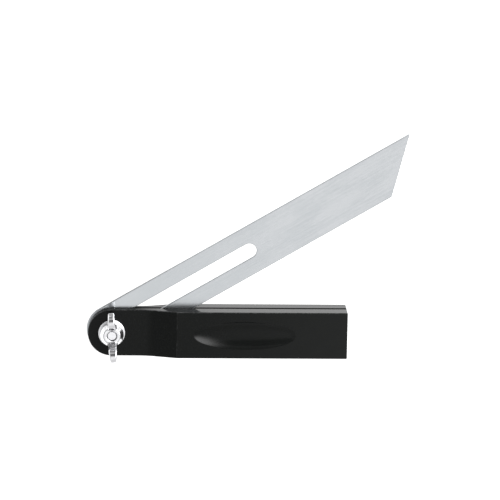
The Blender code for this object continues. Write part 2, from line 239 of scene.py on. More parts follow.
def grid_faces(rows, columns, wrap_rows=False, wrap_columns=False):
    """Four-sided faces of a grid of points numbered row by row. A wrapped direction joins its last
    line of points to its first."""
    i = np.arange(rows if wrap_rows else rows - 1)
    j = np.arange(columns if wrap_columns else columns - 1)
    i, j = np.meshgrid(i, j, indexing="ij")
    down = (i + 1) % rows
    right = (j + 1) % columns
    corners = [i * columns + j, i * columns + right, down * columns + right, down * columns + j]
    return np.stack(corners, axis=-1).reshape(-1, 4)


def grid(x, y, z, rub=0.0, wrap_rows=False, wrap_columns=False):
    """One surface patch: its points from three arrays, how rubbed each of them is, and its faces."""
    x, y, z, rub = np.broadcast_arrays(x, y, z, rub)
    rows, columns = x.shape
    points = np.stack([x, y, z], axis=-1).reshape(-1, 3)
    return points, rub.reshape(-1), grid_faces(rows, columns, wrap_rows, wrap_columns)


def cap(x, y, z):
    """One flat face with many corners, for a border that lies in a plane."""
    x, y, z = np.broadcast_arrays(x, y, z)
    points = np.stack([x, y, z], axis=-1)
    return points, np.zeros(len(points)), np.arange(len(points))[None, :]


def new_piece(name, patches, material, sharp=35.0):
    """A mesh from patches whose borders coincide. Its attribute 'rub' is 1 where hands and neighbours
    rub it most, such as on edges, 0 on open faces and -1 in crevices. The finishes lay wear, painted
    highlights and painted shade on the edges by it, and painted shade in the crevices."""
    first = 0
    points, rubs, faces = [], [], []
    for patch_points, patch_rubs, patch_faces in patches:
        points.append(patch_points)
        rubs.append(patch_rubs)
        faces.extend((patch_faces + first).tolist())
        first += len(patch_points)
    mesh = bpy.data.meshes.new(name)
    mesh.from_pydata(np.concatenate(points).tolist(), [], faces)
    rub = mesh.attributes.new("rub", "FLOAT", "POINT")
    rub.data.foreach_set("value", np.concatenate(rubs).astype(np.float32))
    obj = bpy.data.objects.new(name, mesh)
    bpy.context.scene.collection.objects.link(obj)
    mesh.materials.append(material)
    close_up(mesh, sharp)
    return obj


def close_up(mesh, sharp):
    """Joins what coincides, turns all faces outwards and shades smoothly between sharp edges."""
    shape = bmesh.new()
    shape.from_mesh(mesh)
    bmesh.ops.remove_doubles(shape, verts=shape.verts, dist=JOIN_DISTANCE)
    bmesh.ops.recalc_face_normals(shape, faces=shape.faces)
    shape.to_mesh(mesh)
    shape.free()
    mesh.shade_smooth()
    mesh.set_sharp_from_angle(angle=math.radians(sharp))


def cut(obj, cutters, sharp=35.0):
    """Takes the space of each cutter out of a piece, and removes the cutters."""
    for cutter in cutters:
        modifier = obj.modifiers.new(cutter.name, "BOOLEAN")
        modifier.operation = "DIFFERENCE"
        modifier.solver = "EXACT"
        modifier.object = cutter
    graph = bpy.context.evaluated_depsgraph_get()
    mesh = bpy.data.meshes.new_from_object(obj.evaluated_get(graph))
    obj.modifiers.clear()
    obj.data = mesh
    mesh.set_sharp_from_angle(angle=math.radians(sharp))
    for cutter in cutters:
        bpy.data.objects.remove(cutter, do_unlink=True)


def dress(obj, body, slot, *nodes):
    """The piece moves with a body and stands for its solid. The slot argument is not used."""
    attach(obj, body)
    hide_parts(*nodes)


def turned(profile, columns=96, centre=(0.0, 0.0), closed=False):
    """A patch turned about a vertical axis: each (radius, height, rub) of the profile is a ring."""
    radius, height, rub = (np.array(values)[:, None] for values in zip(*profile))
    angle = np.linspace(0, math.tau, columns, endpoint=False)[None, :]
    x = centre[0] + radius * np.cos(angle)
    y = centre[1] + radius * np.sin(angle)
    return grid(x, y, height, rub, wrap_rows=closed, wrap_columns=True)


def rounded_corner(radius, height, size, start, end, steps=5):
    """Profile points along a quarter turn of the given size about (radius, height)."""
    angles = np.radians(np.linspace(start, end, steps))
    return [(radius + size * math.cos(a), height + size * math.sin(a), 1.0) for a in angles]


def cheek_height(x):
    """Distance of a stock half's outer face from the mid-plane, along x.

    The head is level, then an arc of COVE_RADIUS leaves it tangent and runs into a straight ramp up
    to the full thickness. The crest there is rounded by a smooth minimum."""
    run = FULL_THICKNESS_REACH - HEAD_FLAT_REACH
    rise = HALF_THICKNESS - HALF_HEAD_THICKNESS
    low, high = 0.0, math.pi / 2
    for _ in range(HALVINGS):
        slope = (low + high) / 2
        line_run = run - COVE_RADIUS * math.tan(slope / 2)
        low, high = (slope, high) if line_run * math.tan(slope) < rise else (low, slope)
    past = np.clip(x - HEAD_FLAT_REACH, 0, None)
    arc_run = COVE_RADIUS * math.sin(slope)
    on_arc = COVE_RADIUS - np.sqrt(COVE_RADIUS**2 - np.clip(past, 0, arc_run) ** 2)
    climb = on_arc + np.clip(past - arc_run, 0, None) * math.tan(slope)
    gap = climb - rise
    return HALF_HEAD_THICKNESS + (climb + rise - np.sqrt(gap**2 + (CREST_ROUNDING * slope) ** 2)) / 2


def recess_depth(x, y):
    """Depth of the oval finger recess: an ellipsoid that dips below the face, with a softened rim."""
    lift = RECESS_DEPTH * RECESS_ROUNDNESS_SHARE / (1 - RECESS_ROUNDNESS_SHARE)
    vertical = RECESS_DEPTH + lift
    waist = math.sqrt(1 - (lift / vertical) ** 2)
    across = ((x - RECESS_CENTRE) * 2 * waist / RECESS_LENGTH) ** 2 + (y * 2 * waist / RECESS_WIDTH) ** 2
    depth = vertical * np.sqrt(np.clip(1 - across, 0, None)) - lift
    return (depth + np.sqrt(depth**2 + RECESS_RIM_SOFTNESS**2)) / 2


def stock_rows(inset):
    """x and half height of each row across the stock's plan, drawn inwards by inset: a quarter turn
    about the pivot, the straight edges, and the small rounds of the tail corners."""
    turn = np.radians(np.linspace(0, 90, NOSE_ROWS))
    nose_x = -(HALF_HEIGHT - inset) * np.cos(turn)
    nose_height = (HALF_HEIGHT - inset) * np.sin(turn)
    tail_start = TAIL_REACH - TAIL_CORNER_RADIUS
    crest = FULL_THICKNESS_REACH + np.linspace(-0.5, 0.5, CREST_ROWS) * MM
    straight_x = np.unique(np.concatenate([np.linspace(0, tail_start, LENGTH_ROWS)[1:], crest]))
    straight_height = np.full(len(straight_x), HALF_HEIGHT - inset)
    bend = np.radians(np.linspace(0, 90, TAIL_CORNER_ROWS))[1:]
    corner_x = tail_start + (TAIL_CORNER_RADIUS - inset) * np.sin(bend)
    corner_height = HALF_HEIGHT - TAIL_CORNER_RADIUS + (TAIL_CORNER_RADIUS - inset) * np.cos(bend)
    x = np.concatenate([nose_x, straight_x, corner_x])
    return x, np.concatenate([nose_height, straight_height, corner_height])


def stock_rim(inset, across):
    """x and y of a closed ring round the stock's plan: over the top, down the tail and back below."""
    x, height = stock_rows(inset)
    tail = across[1:-1][::-1]
    ring_x = np.concatenate([x, np.full(len(tail), x[-1]), x[:0:-1]])
    ring_y = np.concatenate([height, tail * height[-1], -height[:0:-1]])
    return ring_x, ring_y


def stock_half_patches(side):
    """The outer face is a grid over the plan, at cheek_height less recess_depth. Rings that round the
    edges and make the wall run about it, and one flat face closes it at the slit."""
    across = np.linspace(-1, 1, CROSS_POINTS)
    x, height = stock_rows(EDGE_ROUNDING)
    x = x[:, None]
    y = across[None, :] * height[:, None]
    crest = np.exp(-(((x - FULL_THICKNESS_REACH) / CREST_RUB_REACH) ** 2)) * CREST_RUB
    rub = np.broadcast_to(crest, y.shape).copy()
    rub[:, [0, -1]] = 1.0
    rub[-1, :] = 1.0
    face = grid(x, y, MID_PLANE + side * (cheek_height(x) - recess_depth(x, y)), rub)

    turn = np.radians(np.linspace(0, 90, EDGE_ROWS))
    insets = EDGE_ROUNDING * (1 - np.sin(turn))
    drops = EDGE_ROUNDING * (1 - np.cos(turn))
    apart = 2 * EDGE_ROUNDING
    inner = [(inset, drop, 0.0, 0.0) for inset, drop in zip(insets, drops)]
    outer = [(inset, -drop, 1.0, 1.0) for inset, drop in zip(insets[::-1], drops[::-1])]
    rings = []
    for inset, drop, share, ring_rub in [*inner, (0, apart, 0.0, 0.0), (0, -apart, 1.0, 0.0), *outer]:
        ring_x, ring_y = stock_rim(inset, across)
        level = HALF_SLIT + share * (cheek_height(ring_x) - HALF_SLIT) + drop
        rings.append((ring_x, ring_y, MID_PLANE + side * level, np.full(len(ring_x), ring_rub)))
    wall = grid(*(np.array(values) for values in zip(*rings)), wrap_columns=True)
    return [face, wall, cap(rings[0][0], rings[0][1], rings[0][2])]


def screw_hole(name, screw, material):
    """A cutter for a tail screw's hole: the screw's own straight shank, cone and rim, widened by FIT."""
    low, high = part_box(screw)
    head = (high.x - low.x) / 2 + FIT
    shank = SCREW_RADIUS + FIT
    outside = -OVERRUN
    profile = [(0.0, outside), (head, outside), (head, SCREW_HEAD_RIM)]
    profile += [(shank, SCREW_HEAD_RIM + head - shank), (shank, high.z + FIT), (0.0, high.z + FIT)]
    centre = ((low.x + high.x) / 2, (low.y + high.y) / 2)
    return new_piece(name, [turned([(r, z, 0.5) for r, z in profile], HOLE_COLUMNS, centre)], material)


def blade_ring(inset):
    """x and y round the blade's edge, drawn inwards by inset, in the blade's own directions: the round
    end about the pivot, the lower edge, the slanted end from heel to tip, and the upper edge."""
    half = BLADE_WIDTH / 2 - inset
    middle = BLADE_LENGTH - BLADE_WIDTH / 2 - (BLADE_WIDTH / 2) / math.tan(BLADE_END_CUT)
    middle -= inset / math.sin(BLADE_END_CUT)
    heel = middle - half / math.tan(BLADE_END_CUT)
    tip = middle + half / math.tan(BLADE_END_CUT)
    turn = np.radians(np.linspace(90, 270, ROUND_END_POINTS, endpoint=False))
    lower = np.linspace(0, heel, EDGE_POINTS, endpoint=False)
    end = np.linspace(0, 1, FAR_END_POINTS, endpoint=False)
    upper = np.linspace(tip, 0, EDGE_POINTS, endpoint=False)
    x = [half * np.cos(turn), lower, heel + (tip - heel) * end, upper]
    level = np.full(EDGE_POINTS, half)
    y = [half * np.sin(turn), -level, half * (2 * end - 1), level]
    return np.concatenate(x), np.concatenate(y)


def slot_ring(inset):
    """x and y round the slot, drawn outwards by inset, with as many points as blade_ring and each of
    them across from its partner there."""
    half = SLOT_WIDTH / 2 + inset
    near = np.radians(np.linspace(90, 270, ROUND_END_POINTS, endpoint=False))
    lower = np.linspace(0, SLOT_TRAVEL, EDGE_POINTS, endpoint=False)
    far = np.radians(np.linspace(-90, 90, FAR_END_POINTS, endpoint=False))
    upper = np.linspace(SLOT_TRAVEL, 0, EDGE_POINTS, endpoint=False)
    x = [half * np.cos(near), lower, SLOT_TRAVEL + half * np.cos(far), upper]
    level = np.full(EDGE_POINTS, half)
    y = [half * np.sin(near), -level, half * np.sin(far), level]
    return np.concatenate(x), np.concatenate(y)


def blade_patches():
    """A closed loop of rings: over the rounded outer edge, across the front face to the slot, through
    the slot's rounded edge, and back across the rear face."""
    turn = np.radians(np.linspace(0, 90, BLADE_EDGE_ROWS))
    insets = BLADE_EDGE_ROUNDING * (1 - np.sin(turn))
    levels = BLADE_THICKNESS / 2 - BLADE_EDGE_ROUNDING * (1 - np.cos(turn))
    steps = [(BLADE_RIM, BLADE_THICKNESS / 2, 0.0)]
    steps += [(inset, level, 1.0) for inset, level in zip(insets, levels)]
    steps += [(inset, -level, rub) for inset, level, rub in steps[::-1]]
    outer = [(*blade_ring(inset), level, rub) for inset, level, rub in steps[::-1]]
    inner = [(*slot_ring(inset), level, rub) for inset, level, rub in steps]
    rings = outer + inner
    x = np.array([ring[0] for ring in rings])
    y = np.array([ring[1] for ring in rings]) + SLOT_OFFSET
    z = np.array([[ring[2]] for ring in rings]) + MID_PLANE
    rub = np.array([[ring[3]] for ring in rings])
    cos, sin = math.cos(BLADE_ANGLE), math.sin(BLADE_ANGLE)
    return [grid(x * cos - y * sin, x * sin + y * cos, z, rub, wrap_rows=True, wrap_columns=True)]


def lay_map(mesh, angle):
    """A UV map whose V runs at an angle in the plan, along the grinding, and whose U runs across it."""
    corners = np.empty(len(mesh.loops), dtype=np.int32)
    mesh.loops.foreach_get("vertex_index", corners)
    points = np.empty(len(mesh.vertices) * 3)
    mesh.vertices.foreach_get("co", points)
    x, y, _ = points.reshape(-1, 3)[corners].T
    along = x * math.cos(angle) + y * math.sin(angle)
    across = x * math.sin(angle) - y * math.cos(angle)
    layer = mesh.uv_layers.new(name="grinding")
    layer.data.foreach_set("uv", np.stack([across, along], axis=-1).astype(np.float32).reshape(-1))


def bolt_patches():
    """The bolt turned about the pivot axis. The shank's radius follows a triangular wave of the
    height less the angle's share of the pitch, which cuts the thread, and fades out at both ends."""
    head = BOLT_HEAD_RADIUS
    shank = BOLT_DIAMETER / 2
    soft = BOLT_HEAD_ROUNDING
    head_profile = [(0.0, 0.0, 0.0), (head * BOLT_HEAD_FLAT_SHARE, 0.0, 0.0)]
    head_profile += rounded_corner(head - soft, soft, soft, -90, 0)
    head_profile += rounded_corner(head - soft / 2, BOLT_HEAD_HEIGHT - soft / 2, soft / 2, 0, 90)
    head_profile += [(shank, BOLT_HEAD_HEIGHT, 0.0)]
    angle = np.linspace(0, math.tau, BOLT_COLUMNS, endpoint=False)[None, :]
    rows = round((BOLT_END_HEIGHT - BOLT_HEAD_HEIGHT) / THREAD_PITCH * THREAD_ROWS_PER_TURN)
    height = np.linspace(BOLT_HEAD_HEIGHT, BOLT_END_HEIGHT, rows)[:, None]
    phase = (height / THREAD_PITCH - angle / math.tau) % 1.0
    cut_in = THREAD_DEPTH * (1 - np.abs(2 * phase - 1) * THREAD_FLANK).clip(0, 1)
    cut_in = cut_in * np.clip((height - BOLT_HEAD_HEIGHT) / THREAD_PITCH, 0, 1)
    taper = np.clip(height - (BOLT_END_HEIGHT - BOLT_END_CHAMFER), 0, None)
    radius = np.minimum(shank - cut_in, shank - taper)
    thread = grid(radius * np.cos(angle), radius * np.sin(angle), height, 0.0, wrap_columns=True)
    last = radius[-1][None, :] * np.array(BOLT_END_RINGS)[:, None]
    level = np.full((len(last), 1), BOLT_END_HEIGHT)
    end = grid(last * np.cos(angle), last * np.sin(angle), level, 1.0, wrap_columns=True)
    return [turned(head_profile, BOLT_COLUMNS), thread, end]


def washer_patches(low, high, outer):
    """A flat ring with rounded outer corners, turned about the pivot axis."""
    soft = WASHER_ROUNDING
    profile = [(HOLE_RADIUS, low, 1.0), (outer - 2 * soft, low, 1.0)]
    profile += [(r, z, 0.0) for r, z, _ in rounded_corner(outer - soft, low + soft, soft, -90, 0)]
    profile += [(r, z, 0.0) for r, z, _ in rounded_corner(outer - soft, high - soft, soft, 0, 90)]
    profile += [(outer - 2 * soft, high, 1.0), (HOLE_RADIUS, high, 1.0)]
    return [turned(profile, WASHER_COLUMNS, closed=True)]


def rounded_max(a, b, radius):
    """The space inside both of two fields, with their shared edge rounded to a radius."""
    corner = np.hypot(np.clip(a + radius, 0, None), np.clip(b + radius, 0, None))
    return np.minimum(-radius, np.maximum(a, b)) + corner


def filleted_min(a, b, radius):
    """The space inside either of two fields, with a fillet of that radius between them."""
    return -rounded_max(-a, -b, radius)


def wing_nut_field(points):
    """Roughly the signed distance to the nut, negative inside, in the nut's own directions.

    The body is what lies under a cone and a top plane and within a skirt. Each wing is a flat
    teardrop, from a round root in the body to a larger round ear, and thins outwards. Body and
    wings are joined with a fillet, and the bore with its countersink is taken out."""
    along, across, up = points[..., 0], points[..., 1], points[..., 2]
    radius = np.hypot(along, across)
    flank = math.atan2(NUT_BASE_RADIUS - NUT_TOP_RADIUS, NUT_BODY_HEIGHT - NUT_SKIRT_HEIGHT)
    cone = (radius - NUT_TOP_RADIUS) * math.cos(flank) + (up - NUT_BODY_HEIGHT) * math.sin(flank)
    body = rounded_max(radius - NUT_BASE_RADIUS, cone, NUT_ROUNDING)
    body = rounded_max(body, up - NUT_BODY_HEIGHT, NUT_ROUNDING)
    body = rounded_max(body, -up, NUT_FOOT_ROUNDING)

    ear = (WING_REACH - WING_EAR_RADIUS, NUT_HIGH - NUT_LOW - WING_EAR_RADIUS)
    reach = (ear[0] - WING_ROOT[0], ear[1] - WING_ROOT[1])
    out = np.abs(along) - WING_ROOT[0]
    rise = up - WING_ROOT[1]
    share = np.clip((out * reach[0] + rise * reach[1]) / (reach[0] ** 2 + reach[1] ** 2), 0, 1)
    size = WING_ROOT_RADIUS + (WING_EAR_RADIUS - WING_ROOT_RADIUS) * share
    teardrop = np.hypot(out - share * reach[0], rise - share * reach[1]) - size
    outwards = np.clip(out / (WING_REACH - WING_ROOT[0]), 0, 1)
    half_thickness = (WING_ROOT_THICKNESS + (WING_END_THICKNESS - WING_ROOT_THICKNESS) * outwards) / 2
    wing = rounded_max(teardrop, np.abs(across) - half_thickness, WING_EDGE_ROUNDING)
    wing = rounded_max(wing, -up, NUT_FOOT_ROUNDING)

    nut = filleted_min(body, wing, NUT_FILLET)
    bore = radius - HOLE_RADIUS - np.clip(up - NUT_BODY_HEIGHT + NUT_COUNTERSINK, 0, NUT_COUNTERSINK)
    return rounded_max(nut, -bore, NUT_BORE_ROUNDING)


def field_gradient(field, points, step=0.01 * MM):
    """How fast a field grows along each direction, from differences over a small step."""
    slopes = []
    for axis in range(3):
        shift = np.zeros(3)
        shift[axis] = step
        slopes.append((field(points + shift) - field(points - shift)) / (2 * step))
    return np.stack(slopes, axis=-1)


def field_surface(field, low, high, step):
    """The closed surface where a field is zero.

    Space between two corners is split into cubes. A cube that the surface passes through gets one
    point, and each edge of the cubes that the surface crosses gets a face through the four cubes
    round it. The points are then moved along the field's slope until they lie on the surface."""
    axes = [np.arange(a, b + step, step) for a, b in zip(low, high)]
    corners = np.stack(np.meshgrid(*axes, indexing="ij"), axis=-1)
    inside = field(corners) < 0
    count = sum(
        inside[a : a - 1 or None, b : b - 1 or None, c : c - 1 or None].astype(int)
        for a in (0, 1)
        for b in (0, 1)
        for c in (0, 1)
    )
    crossed = (count > 0) & (count < 8)
    number = np.full(crossed.shape, -1)
    number[crossed] = np.arange(crossed.sum())
    points = corners[:-1, :-1, :-1][crossed] + step / 2
    for _ in range(SETTLING_ROUNDS):
        slope = field_gradient(field, points)
        points = points - slope * (field(points) / (slope**2).sum(-1).clip(0.1))[:, None]
    faces = []
    for axis in range(3):
        first = np.moveaxis(inside, axis, 0)
        cells = np.moveaxis(number, axis, 0)
        changes = first[1:, 1:-1, 1:-1] != first[:-1, 1:-1, 1:-1]
        ring = [cells[:, :-1, :-1], cells[:, 1:, :-1], cells[:, 1:, 1:], cells[:, :-1, 1:]]
        faces.append(np.stack([corner[changes] for corner in ring], axis=-1))
    return points, np.concatenate(faces)


def wing_nut_patches():
    """The casting as the zero surface of its field, turned to its place on the bolt. Its machined top
    counts as rubbed. The wings' inner sides and the corner round the top get painted shade."""
    margin = 0.5 * MM
    low = (-WING_REACH - margin, -NUT_BASE_RADIUS - margin, -margin)
    high = (WING_REACH + margin, NUT_BASE_RADIUS + margin, NUT_HIGH - NUT_LOW + margin)
    points, faces = field_surface(wing_nut_field, low, high, NUT_MESH_STEP)
    cos, sin = math.cos(NUT_TURN), math.sin(NUT_TURN)
    x = points[:, 0] * cos - points[:, 1] * sin
    y = points[:, 0] * sin + points[:, 1] * cos
    placed = np.stack([x, y, points[:, 2] + NUT_LOW], axis=-1)
    radius = np.hypot(points[:, 0], points[:, 1])
    above = points[:, 2] - NUT_BODY_HEIGHT
    machined = (np.abs(above) < MACHINED_DEPTH) & (radius < NUT_TOP_RADIUS - TOP_CORNER_WIDTH)
    near_top = np.abs(above) < TOP_CORNER_WIDTH
    corner = np.exp(-(((radius - NUT_TOP_RADIUS) / TOP_CORNER_WIDTH) ** 2)) * near_top
    # Inner sides of the wings, which get painted shade.
    inner = np.exp(-(((np.abs(points[:, 0]) - WING_SHADE_MIDDLE) / WING_SHADE_WIDTH) ** 2))
    inner = inner * np.clip(above / WING_SHADE_RISE, 0, 1)
    inner = inner * np.clip((WING_SHADE_TOP - above) / WING_SHADE_FADE, 0, 1)
    return [(placed, machined - np.maximum(TOP_CORNER_SHADE * corner, inner), faces)]


def joined_copy(name, node, material, sharp=30.0):
    """A copy of a solid whose loose triangles are joined, so that its round faces shade smoothly."""
    mesh = frame["nodes"][node].data.copy()
    mesh.name = name
    obj = bpy.data.objects.new(name, mesh)
    bpy.context.scene.collection.objects.link(obj)
    mesh.materials.clear()
    mesh.materials.append(material)
    close_up(mesh, sharp)
    return obj


def add_node(tree, kind, inputs=(), **settings):
    """A shader node with its settings, whose inputs are set to values or linked to sockets."""
    made = tree.nodes.new("ShaderNode" + kind)
    for name, value in settings.items():
        setattr(made, name, value)
    for socket, value in dict(inputs).items():
        if isinstance(value, bpy.types.NodeSocket):
            tree.links.new(value, made.inputs[socket])
        else:
            made.inputs[socket].default_value = value
    return made


def calc(tree, operation, *terms):
    """The result of a Math node on numbers or sockets."""
    return add_node(tree, "Math", dict(enumerate(terms)), operation=operation).outputs[0]


def fade(tree, value, low, high):
    """0 below low, 1 above high and smooth between."""
    limits = {"Value": value, "From Min": low, "From Max": high}
    return add_node(tree, "MapRange", limits, interpolation_type="SMOOTHSTEP").outputs[0]


def between(tree, value, low, high):
    """A value that runs from 0 to 1 made to run from low to high."""
    return add_node(tree, "MapRange", {"Value": value, "To Min": low, "To Max": high}).outputs[0]


def mixed(tree, share, first, second):
    """The first colour where share is 0 and the second where it is 1."""
    inputs = {0: share, 6: (*first, 1) if isinstance(first, tuple) else first, 7: (*second, 1)}
    return add_node(tree, "Mix", inputs, data_type="RGBA").outputs[2]


def new_group(name, inputs, outputs):
    """An empty shader group with named sockets. Inputs are given as {name: kind}."""
    group = bpy.data.node_groups.new(name, "ShaderNodeTree")
    for label, kind in inputs.items():
        group.interface.new_socket(name=label, in_out="INPUT", socket_type="NodeSocket" + kind)
    for label in outputs:
        group.interface.new_socket(name=label, in_out="OUTPUT", socket_type="NodeSocketFloat")
    return group, group.nodes.new("NodeGroupInput").outputs, group.nodes.new("NodeGroupOutput").inputs


def grain_group():
    """Fine grain and coarse mottling, both about 0.5."""
    inputs = {"Position": "Vector", "Fine": "Float", "Coarse": "Float"}
    group, given, result = new_group("grain", inputs, ("Grain", "Mottle"))
    place = given["Position"]
    fine = add_node(group, "TexNoise", {"Vector": place, "Scale": given["Fine"], "Detail": 3.0})
    coarse = add_node(group, "TexNoise", {"Vector": place, "Scale": given["Coarse"], "Detail": 4.0})
    group.links.new(fine.outputs[0], result["Grain"])
    group.links.new(coarse.outputs[0], result["Mottle"])
    return group


def wear_group():
    """Where rubbing has worn the finish, and where finishes lay painted highlights or painted shade on edges:
    the 'rub' attribute broken up by noise.
    """
    inputs = {"Position": "Vector", "Scale": "Float", "Reach": "Float"}
    group, given, result = new_group("wear", inputs, ("Wear",))
    rub = add_node(group, "Attribute", attribute_name="rub").outputs["Fac"]
    noise = {"Vector": given["Position"], "Scale": given["Scale"], "Detail": 3.0}
    patchy = add_node(group, "TexNoise", noise)
    raised = calc(group, "ADD", calc(group, "MULTIPLY_ADD", patchy.outputs[0], 1.2, -1.1), given["Reach"])
    total = calc(group, "ADD", calc(group, "MULTIPLY", rub, 0.6), raised)
    group.links.new(calc(group, "MULTIPLY", fade(group, total, 0.0, 0.6), rub), result["Wear"])
    return group


def brushing_group():
    """Lines along X: fine ones that cover the face, and longer streaks in which they bunch up."""
    inputs = {"Position": "Vector", "Length": "Float", "Width": "Float"}
    group, given, result = new_group("brushing", inputs, ("Lines", "Streaks"))
    parts = add_node(group, "SeparateXYZ", {0: given["Position"]}).outputs
    for label, longer, wider in (("Lines", 1.0, 1.0), ("Streaks", 3.5, 6.0)):
        along = calc(group, "DIVIDE", parts["X"], calc(group, "MULTIPLY", given["Length"], longer))
        across = calc(group, "DIVIDE", parts["Y"], calc(group, "MULTIPLY", given["Width"], wider))
        place = add_node(group, "CombineXYZ", {"X": along, "Y": across, "Z": parts["Z"]}).outputs[0]
        lines = add_node(group, "TexNoise", {"Vector": place, "Scale": 1.0, "Detail": 3.0}).outputs[0]
        group.links.new(lines, result[label])
    return group


def use_group(tree, group, **inputs):
    """A group placed in a material, with its own values."""
    made = tree.nodes.new("ShaderNodeGroup")
    made.node_tree = group
    for label, value in inputs.items():
        if isinstance(value, bpy.types.NodeSocket):
            tree.links.new(value, made.inputs[label])
        else:
            made.inputs[label].default_value = value
    return made.outputs


def new_material(name, metallic, base, roughness):
    """A material with its shader. Base colour and roughness here are what plain viewers show."""
    material = bpy.data.materials.new(name)
    material.use_nodes = True
    tree = material.node_tree
    shader = tree.nodes["Principled BSDF"]
    shader.inputs["Base Color"].default_value = (*base, 1)
    shader.inputs["Roughness"].default_value = roughness
    shader.inputs["Metallic"].default_value = metallic
    return material, tree, shader.inputs


def position_in(tree, angle=0.0):
    """Object coordinates, turned so that X runs at an angle in the plan."""
    place = add_node(tree, "TexCoord").outputs["Object"]
    return add_node(tree, "Mapping", {"Vector": place, "Rotation": (0, 0, -angle)}).outputs[0]


def bump(tree, height, distance):
    return add_node(tree, "Bump", {"Height": height, "Distance": distance}).outputs[0]


def black_paint(groups):
    """Satin black paint: fine orange peel, a little paler towards the tail as painted light, and paler
    on the edges, as worn paint and as a painted highlight along the rims."""
    material, tree, shader = new_material("black_paint", 0.0, (0.005, 0.0055, 0.0053), 0.34)
    shader["Specular IOR Level"].default_value = 0.12
    position = position_in(tree)
    grain = use_group(tree, groups["grain"], Position=position, Fine=2600.0, Coarse=140.0)
    wear = use_group(tree, groups["wear"], Position=position, Scale=700.0, Reach=0.25)["Wear"]
    along = add_node(tree, "SeparateXYZ", {0: position}).outputs["X"]
    # Paler towards the tail: painted light, standing in for the light that brightens the face there.
    lit_towards_tail = calc(tree, "MULTIPLY", fade(tree, along, 0.03, 0.135), between(tree, grain["Mottle"], 0.8, 1.2))
    colour = mixed(tree, lit_towards_tail, PAINT_SHADED_BY_HEAD, PAINT_LIT_BY_TAIL)
    speckled = mixed(tree, fade(tree, grain["Grain"], 0.5, 0.8), colour, PAINT_FLECK)
    # Paler edges and crest: worn paint, and a painted highlight along the rims.
    worn = mixed(tree, wear, speckled, PAINT_EDGE_WEAR_AND_HIGHLIGHT)
    tree.links.new(worn, shader["Base Color"])
    tree.links.new(between(tree, grain["Mottle"], 0.10, 0.17), shader["Roughness"])
    tree.links.new(bump(tree, grain["Grain"], PAINT_RELIEF), shader["Normal"])
    return material


def satin_steel(groups):
    """Ground steel: faint lengthwise lines and streaks, clouds drawn out along them, a far end painted
    paler and a near end darker as painted light and shade, and duller edges darker as painted shade."""
    material, tree, shader = new_material("satin_steel", 1.0, (0.66, 0.68, 0.70), 0.2)
    shader["Anisotropic"].default_value = 1.0
    tangent = add_node(tree, "Tangent", direction_type="UV_MAP", uv_map="grinding").outputs[0]
    tree.links.new(tangent, shader["Tangent"])
    position = position_in(tree, BLADE_ANGLE)
    lines = use_group(tree, groups["brushing"], Position=position, Length=LINE_LENGTH, Width=LINE_WIDTH)
    drawn_out = add_node(tree, "VectorMath", {0: position, 1: CLOUD_STRETCH}, operation="MULTIPLY")
    grain = use_group(tree, groups["grain"], Position=drawn_out.outputs[0], Fine=900.0, Coarse=120.0)
    wear = use_group(tree, groups["wear"], Position=position, Scale=300.0, Reach=0.6)["Wear"]
    along = add_node(tree, "SeparateXYZ", {0: position}).outputs["X"]
    # Paler towards the far end, darker by the pivot: painted light and painted shade.
    lit_far_end = between(tree, fade(tree, along, 0.03, 0.14), 0.28, 0.72)
    streak = calc(tree, "SUBTRACT", fade(tree, lines["Streaks"], 0.32, 0.68), 0.5)
    cloud = calc(tree, "SUBTRACT", fade(tree, grain["Mottle"], 0.3, 0.7), 0.5)
    speckle = calc(tree, "SUBTRACT", grain["Grain"], 0.5)
    uneven = calc(tree, "MULTIPLY_ADD", streak, 0.45, calc(tree, "MULTIPLY_ADD", cloud, 0.7, speckle))
    share = calc(tree, "MULTIPLY_ADD", calc(tree, "MULTIPLY", uneven, lit_far_end), 1.3, lit_far_end)
    pale = mixed(tree, share, STEEL_DEEP, STEEL_PALE)
    line = calc(tree, "MULTIPLY", fade(tree, lines["Lines"], 0.62, 0.8), 0.4)
    lined = mixed(tree, line, pale, STEEL_LINE)
    # Darker edges: painted shade, standing in for the dark that the edge walls reflect.
    edge_shaded = mixed(tree, calc(tree, "MULTIPLY", wear, 0.6), lined, STEEL_EDGE_SHADE)
    tree.links.new(edge_shaded, shader["Base Color"])
    half_mottle = calc(tree, "MULTIPLY", grain["Mottle"], 0.5)
    rough = between(tree, calc(tree, "MULTIPLY_ADD", lines["Streaks"], 0.5, half_mottle), 0.13, 0.20)
    tree.links.new(calc(tree, "MULTIPLY_ADD", wear, 0.2, rough), shader["Roughness"])
    tree.links.new(bump(tree, lines["Lines"], STEEL_RELIEF), shader["Normal"])
    return material


